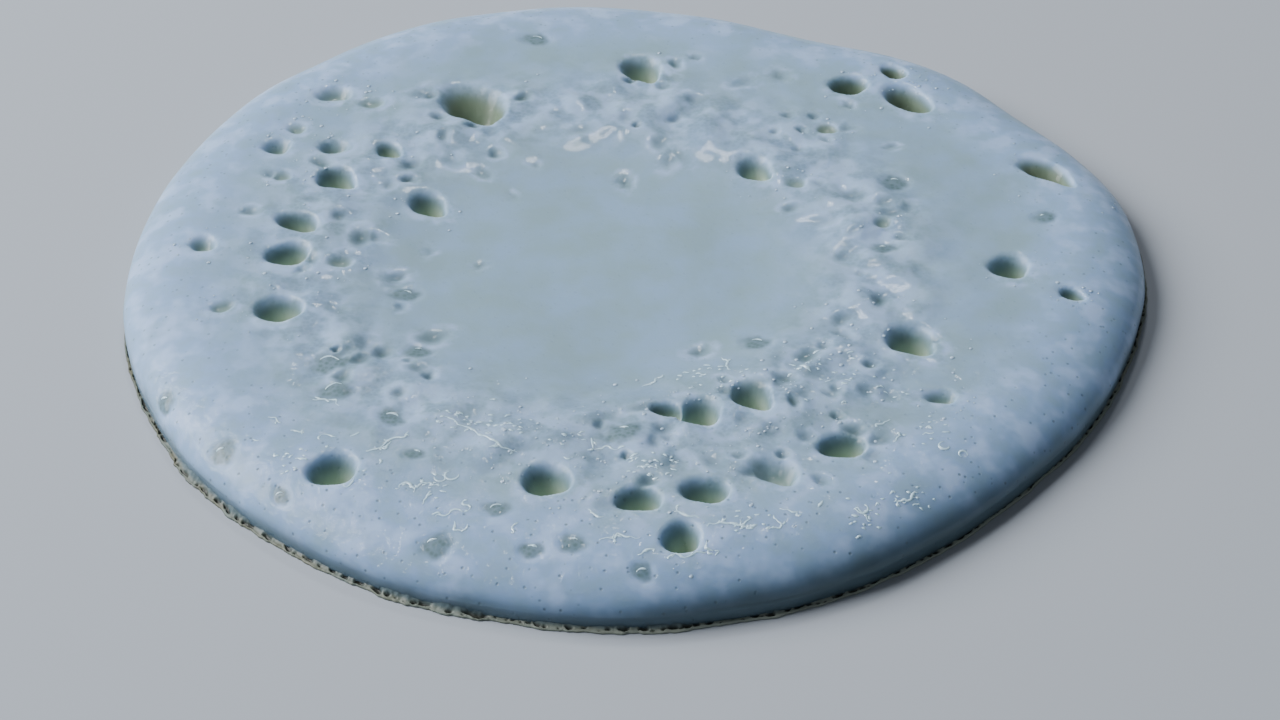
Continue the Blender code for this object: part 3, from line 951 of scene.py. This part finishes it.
# Materials
def add_node(tree, kind, output, inputs=None, settings=None):
    """Add a node with its settings, a plain value or the socket that feeds it for each input named, and
    return one of its outputs."""
    node = tree.nodes.new("ShaderNode" + kind)
    for name, value in (settings or {}).items():
        setattr(node, name, value)
    for name, value in (inputs or {}).items():
        if isinstance(value, bpy.types.NodeSocket):
            tree.links.new(value, node.inputs[name])
        else:
            node.inputs[name].default_value = value
    return node.outputs[output]


def new_material(name, values):
    """A material, its tree and its shader, with these values on the shader's own sockets."""
    material = bpy.data.materials.new(name)
    material.use_nodes = True
    shader = material.node_tree.nodes["Principled BSDF"]
    for socket, value in values.items():
        shader.inputs[socket].default_value = value
    return material, material.node_tree, shader


def rgba(colour):
    return (*colour, 1)


TIMES = {"operation": "MULTIPLY"}
SMOOTH = {"interpolation_type": "SMOOTHSTEP"}

# A Mix node in its colour mode takes its share and its two colours at these inputs, and gives this output
MIX = {"data_type": "RGBA"}
SHARE, LOW, HIGH, MIXED = 0, 6, 7, 2


def batter_material(settings):
    """Ground rice and lentil batter, fermented and ladled wet: cool white foam, a little clear where it is
    smooth, green-grey down in its hollows and at its foot, and as soft to the light as milk. Painted shade
    darkens its foot, the upper walls of its hollows and the floors of wide or far ones, and painted light
    lightens deep in its hollows."""
    material, tree, shader = new_material("wet_fermented_rice_batter", {
        "IOR": 1.36, "Subsurface Weight": 0.8, "Subsurface Radius": (1.0, 1.0, 0.9),
        "Subsurface Scale": 2.6 * MM, "Coat Weight": 0.4, "Coat Roughness": 0.08, "Coat IOR": 1.33,
    })
    place = add_node(tree, "TexCoord", "Object")
    marks = {
        name: add_node(tree, "Attribute", "Fac", settings={"attribute_name": name})
        for name in ("hollow", "film", "froth", "clear", "sunk", "band", "foot", "rim", "pinholes", "wet")
    }

    # Patches of foam in the smooth paste, more of them down the rim
    patches = add_node(
        tree, "TexNoise", "Fac", {"Vector": place, "Scale": 1 / settings.mottle, "Detail": 3.0}
    )
    patchy = add_node(
        tree, "MapRange", "Result", {"Value": patches, "From Min": 0.36, "From Max": 0.66, "To Max": 0.6}
    )
    foamy = add_node(
        tree, "Math", 0, {0: marks["rim"], 1: 0.75, 2: patchy},
        {"operation": "MULTIPLY_ADD", "use_clamp": True},
    )
    colour = add_node(
        tree, "Mix", MIXED, {SHARE: foamy, LOW: rgba(settings.paste), HIGH: rgba(settings.foam)}, MIX
    )

    # The lumpy band, with sunk foam and brighter foam between, the clouds of the rim, and fine bubbles
    lumps = add_node(
        tree, "TexNoise", "Fac", {"Vector": place, "Scale": 1 / (3.6 * MM), "Detail": 2.0, "Roughness": 0.4}
    )
    clouds = add_node(tree, "TexNoise", "Fac", {"Vector": place, "Scale": 1 / (4.2 * MM), "Detail": 2.0})
    bubbles = add_node(tree, "TexVoronoi", "Distance", {"Vector": place, "Scale": 1 / (0.65 * MM)})
    for mark, pattern, low, high, most, tint in (
        ("band", lumps, 0.40, 0.62, 0.5, settings.shade),
        ("froth", lumps, 0.56, 0.42, 0.8, settings.bright),
        ("rim", clouds, 0.50, 0.34, 0.4, settings.paste),
        ("rim", clouds, 0.50, 0.66, 0.9, settings.bright),
        ("froth", bubbles, 0.35, 0.7, 0.25, settings.bright),
    ):
        lumpy = add_node(
            tree, "MapRange", "Result", {"Value": pattern, "From Min": low, "From Max": high, "To Max": most}
        )
        share = add_node(tree, "Math", 0, {0: lumpy, 1: marks[mark]}, TIMES)
        colour = add_node(tree, "Mix", MIXED, {SHARE: share, LOW: colour, HIGH: rgba(tint)}, MIX)

    # Pinholes, as soft dots
    pores = add_node(tree, "TexVoronoi", "Distance", {"Vector": place, "Scale": 1 / settings.pinhole_gap})
    reach = settings.pinhole_radius / settings.pinhole_gap
    dots = add_node(
        tree, "MapRange", "Result", {"Value": pores, "From Min": reach, "From Max": 0.2 * reach}, SMOOTH
    )
    pricked = add_node(tree, "Math", 0, {0: dots, 1: marks["pinholes"]}, TIMES)

    # What is seen through thin skins, down hollows and at the foot, with painted shade at the foot, on hollow
    # walls and on wide or far hollow floors, and painted light deep in hollows
    shallow, deep = (
        add_node(
            tree, "MapRange", "Result", {"Value": marks["hollow"], "From Min": low, "From Max": high}, SMOOTH
        )
        for low, high in ((0.05, 0.5), (0.35, 0.85))
    )
    speckled = add_node(
        tree, "MapRange", "Result", {"Value": bubbles, "From Min": 0.7, "From Max": 0.2, "To Min": 0.75}
    )
    skinned = add_node(tree, "Math", 0, {0: speckled, 1: marks["film"]}, TIMES)
    for share, tint in (
        (marks["sunk"], settings.film),
        (pricked, settings.pinhole),
        (marks["foot"], settings.foot),
        (skinned, settings.film),
        (shallow, settings.wall),
        (deep, settings.hollow),
        (marks["clear"], settings.floor),
    ):
        colour = add_node(tree, "Mix", MIXED, {SHARE: share, LOW: colour, HIGH: rgba(tint)}, MIX)

    # The grain of the foam, and the dents of its pinholes
    fine = add_node(tree, "TexNoise", "Fac", {"Vector": place, "Scale": 1 / (0.9 * MM), "Detail": 4.0})
    grain = add_node(tree, "Bump", "Normal", {"Height": fine, "Strength": 0.25, "Distance": 0.12 * MM})
    dents = add_node(
        tree, "Bump", "Normal",
        {"Height": pricked, "Normal": grain, "Strength": 0.5, "Distance": 0.15 * MM}, {"invert": True},
    )
    rough = add_node(tree, "MapRange", "Result", {"Value": patches, "To Min": 0.42, "To Max": 0.58})
    waves = add_node(
        tree, "TexNoise", "Fac", {"Vector": place, "Scale": 1 / (1.6 * MM), "Detail": 1.0, "Distortion": 0.6}
    )
    ripples = add_node(
        tree, "Bump", "Normal", {"Height": waves, "Strength": marks["wet"], "Distance": 0.55 * MM}
    )
    for name, socket in (
        ("Base Color", colour), ("Normal", dents), ("Roughness", rough), ("Coat Normal", ripples),
    ):
        tree.links.new(socket, shader.inputs[name])
    return material


def crust_material(settings):
    """Rice batter set dry against hot iron: straw where it has only set, gold and brown where it lay longer,
    mottled in rings by the bubbles that steamed through it, and burnt where one burst."""
    material, tree, shader = new_material("griddled_rice_crust", {"Roughness": 0.5, "IOR": 1.45})
    place = add_node(tree, "TexCoord", "Object")
    burst, climbed, pale = (
        add_node(tree, "Attribute", "Fac", settings={"attribute_name": name})
        for name in ("bubble", "climbed", "pale")
    )
    broad = add_node(tree, "TexNoise", "Fac", {"Vector": place, "Scale": 1 / (14 * MM), "Detail": 4.0})
    browned = add_node(tree, "MapRange", "Result", {"Value": broad, "From Min": 0.45, "From Max": 0.7})
    cells = add_node(tree, "TexVoronoi", "Distance", {"Vector": place, "Scale": 1 / (2.6 * MM)})
    rings = add_node(tree, "MapRange", "Result", {"Value": cells, "From Min": 0.3, "From Max": 0.9})
    speckle = add_node(tree, "TexNoise", "Fac", {"Vector": place, "Scale": 1 / (0.7 * MM), "Detail": 3.0})
    spotted = add_node(
        tree, "MapRange", "Result", {"Value": speckle, "From Min": 0.5, "From Max": 0.72, "To Max": 0.7}
    )
    colour = rgba(settings.straw)
    # The pale tint is painted light on the lace's front right; the others are the crust's own colours.
    for share, tint in (
        (rings, settings.gold), (browned, settings.gold), (spotted, settings.brown),
        (pale, settings.pale), (climbed, settings.joined), (burst, settings.burnt),
    ):
        colour = add_node(tree, "Mix", MIXED, {SHARE: share, LOW: colour, HIGH: rgba(tint)}, MIX)
    tree.links.new(colour, shader.inputs["Base Color"])
    pitted = add_node(tree, "Bump", "Normal", {"Height": speckle, "Strength": 0.6, "Distance": 0.15 * MM})
    tree.links.new(pitted, shader.inputs["Normal"])
    return material


def film_material(settings):
    """Thin rice water standing in ridges on the batter, as smooth as water. Its white, whiter than the foam
    under it, is a painted highlight that stands in for its gleam."""
    material, tree, shader = new_material("rice_water_painted_highlight", {
        "Roughness": 0.12, "IOR": 1.33, "Coat Weight": 1.0, "Coat Roughness": 0.05,
    })
    place = add_node(tree, "TexCoord", "Object")
    ripple = add_node(tree, "TexNoise", "Fac", {"Vector": place, "Scale": 1 / (0.5 * MM)})
    colour = add_node(
        tree, "Mix", MIXED, {SHARE: ripple, LOW: rgba(settings.white), HIGH: rgba(settings.rippled)}, MIX
    )
    tree.links.new(colour, shader.inputs["Base Color"])
    return material


def froth_material(settings):
    """Small bubbles of batter with thin wet skins, greyer than the foam because they are half clear; the
    whiter skins are partly painted glints.
    """
    material, tree, shader = new_material("rice_batter_froth", {
        "Roughness": 0.2, "IOR": 1.33, "Coat Weight": 0.8, "Coat Roughness": 0.06,
    })
    place = add_node(tree, "TexCoord", "Object")
    patch = add_node(tree, "TexNoise", "Fac", {"Vector": place, "Scale": 1 / (1.5 * MM)})
    colour = add_node(
        tree, "Mix", MIXED, {SHARE: patch, LOW: rgba(settings.froth), HIGH: rgba(settings.hazy)}, MIX
    )
    tree.links.new(colour, shader.inputs["Base Color"])
    return material


def floor_material(settings):
    """Matt painted board."""
    return new_material("matt_painted_board", {"Base Color": rgba(settings.floor), "Roughness": 0.8})[0]


# Operators
class DOSA_OT_batter(bpy.types.Operator):
    """Make the wet batter with its hollows"""

    bl_idname = "dosa.batter"
    bl_label = "Wet Batter"

    def execute(self, context):
        settings = context.scene.dosa.batter
        add_piece("wet_batter", build_batter(settings), batter_material(settings))
        return {"FINISHED"}


class DOSA_OT_crust(bpy.types.Operator):
    """Make the griddled crust and its lace"""

    bl_idname = "dosa.crust"
    bl_label = "Griddled Crust"

    def execute(self, context):
        settings = context.scene.dosa.crust
        add_piece("griddled_crust", build_crust(settings), crust_material(settings))
        return {"FINISHED"}


class DOSA_OT_film(bpy.types.Operator):
    """Make the squiggles of standing film, white as a painted highlight"""

    bl_idname = "dosa.film"
    bl_label = "Standing Film"

    def execute(self, context):
        settings = context.scene.dosa.film
        add_piece("film_painted_highlight", build_film(settings), film_material(settings))
        return {"FINISHED"}


class DOSA_OT_froth(bpy.types.Operator):
    """Make the froth of small bubbles"""

    bl_idname = "dosa.froth"
    bl_label = "Froth"

    def execute(self, context):
        settings = context.scene.dosa.film
        add_piece("froth_bubbles", build_froth(settings), froth_material(settings))
        return {"FINISHED"}


AIM = Vector((2.37 * MM - CENTRE[0], -20.57 * MM - CENTRE[1], 4 * MM))
Lamp = namedtuple("Lamp", "name place size power colour")
LAMPS = (
    Lamp("key", (-1.24, 0.30, 1.00), 1.30, 54.0, "#FFFFFF"),
    Lamp("back", (0.00, 0.42, 0.56), 0.10, 0.8, "#FFFFFF"),
)
WORLD_COLOUR = "#EEF3F8"
WORLD_STRENGTH = 0.14
FLOOR_SIZE = 3.0


def add_lamps():
    for lamp in LAMPS:
        data = bpy.data.lights.new(lamp.name, "AREA")
        data.shape = "DISK"
        data.size = lamp.size
        data.energy = lamp.power
        data.color = linear(lamp.colour)
        holder = bpy.data.objects.new(lamp.name, data)
        holder.location = lamp.place
        holder.rotation_euler = (-Vector(lamp.place)).to_track_quat("-Z", "Y").to_euler()
        bpy.context.scene.collection.objects.link(holder)


def add_world():
    world = bpy.data.worlds.new("soft_studio")
    world.use_nodes = True
    background = world.node_tree.nodes["Background"]
    background.inputs["Color"].default_value = rgba(linear(WORLD_COLOUR))
    background.inputs["Strength"].default_value = WORLD_STRENGTH
    bpy.context.scene.world = world


def add_camera(settings):
    data = bpy.data.cameras.new("camera")
    data.lens = settings.lens
    data.sensor_width = 36
    data.clip_start = 10 * MM
    holder = bpy.data.objects.new("camera", data)
    back = Vector((0, -math.cos(settings.elevation), math.sin(settings.elevation)))
    holder.location = AIM + back * settings.distance
    holder.rotation_euler = (-back).to_track_quat("-Z", "Y").to_euler()
    bpy.context.scene.collection.objects.link(holder)
    bpy.context.scene.camera = holder


class DOSA_OT_stage(bpy.types.Operator):
    """Lay the floor and set the light and the camera"""

    bl_idname = "dosa.stage"
    bl_label = "Stage"

    def execute(self, context):
        settings = context.scene.dosa.stage
        mesh = bmesh.new()
        bmesh.ops.create_grid(mesh, x_segments=1, y_segments=1, size=FLOOR_SIZE / 2)
        data = bpy.data.meshes.new("floor")
        mesh.to_mesh(data)
        mesh.free()
        data.materials.append(floor_material(settings))
        floor = bpy.data.objects.new("floor", data)
        context.scene.collection.objects.link(floor)
        add_lamps()
        add_world()
        add_camera(settings)
        return {"FINISHED"}


OPERATORS = (DOSA_OT_batter, DOSA_OT_crust, DOSA_OT_film, DOSA_OT_froth, DOSA_OT_stage)
GROUPS = (DosaBatter, DosaCrust, DosaFilm, DosaStage, DosaSettings)


class DOSA_PT_panel(bpy.types.Panel):
    """The dosa's pieces and their settings"""

    bl_label = "Butter Dosa"
    bl_idname = "DOSA_PT_panel"
    bl_space_type = "VIEW_3D"
    bl_region_type = "UI"
    bl_category = "Dosa"

    def draw(self, context):
        for operator in OPERATORS:
            self.layout.operator(operator.bl_idname)
        settings = context.scene.dosa
        for group in (settings.batter, settings.crust, settings.film, settings.stage):
            box = self.layout.box()
            for name in group.__annotations__:
                box.prop(group, name)


def register():
    for item in (*GROUPS, *OPERATORS, DOSA_PT_panel):
        bpy.utils.register_class(item)
    bpy.types.Scene.dosa = PointerProperty(type=DosaSettings)


def unregister():
    del bpy.types.Scene.dosa
    for item in reversed((*GROUPS, *OPERATORS, DOSA_PT_panel)):
        bpy.utils.unregister_class(item)


def main():
    register()
    bpy.ops.dosa.stage()
    bpy.ops.dosa.batter()
    bpy.ops.dosa.crust()
    bpy.ops.dosa.film()
    bpy.ops.dosa.froth()
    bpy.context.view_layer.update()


if __name__ == "__main__":
    main()
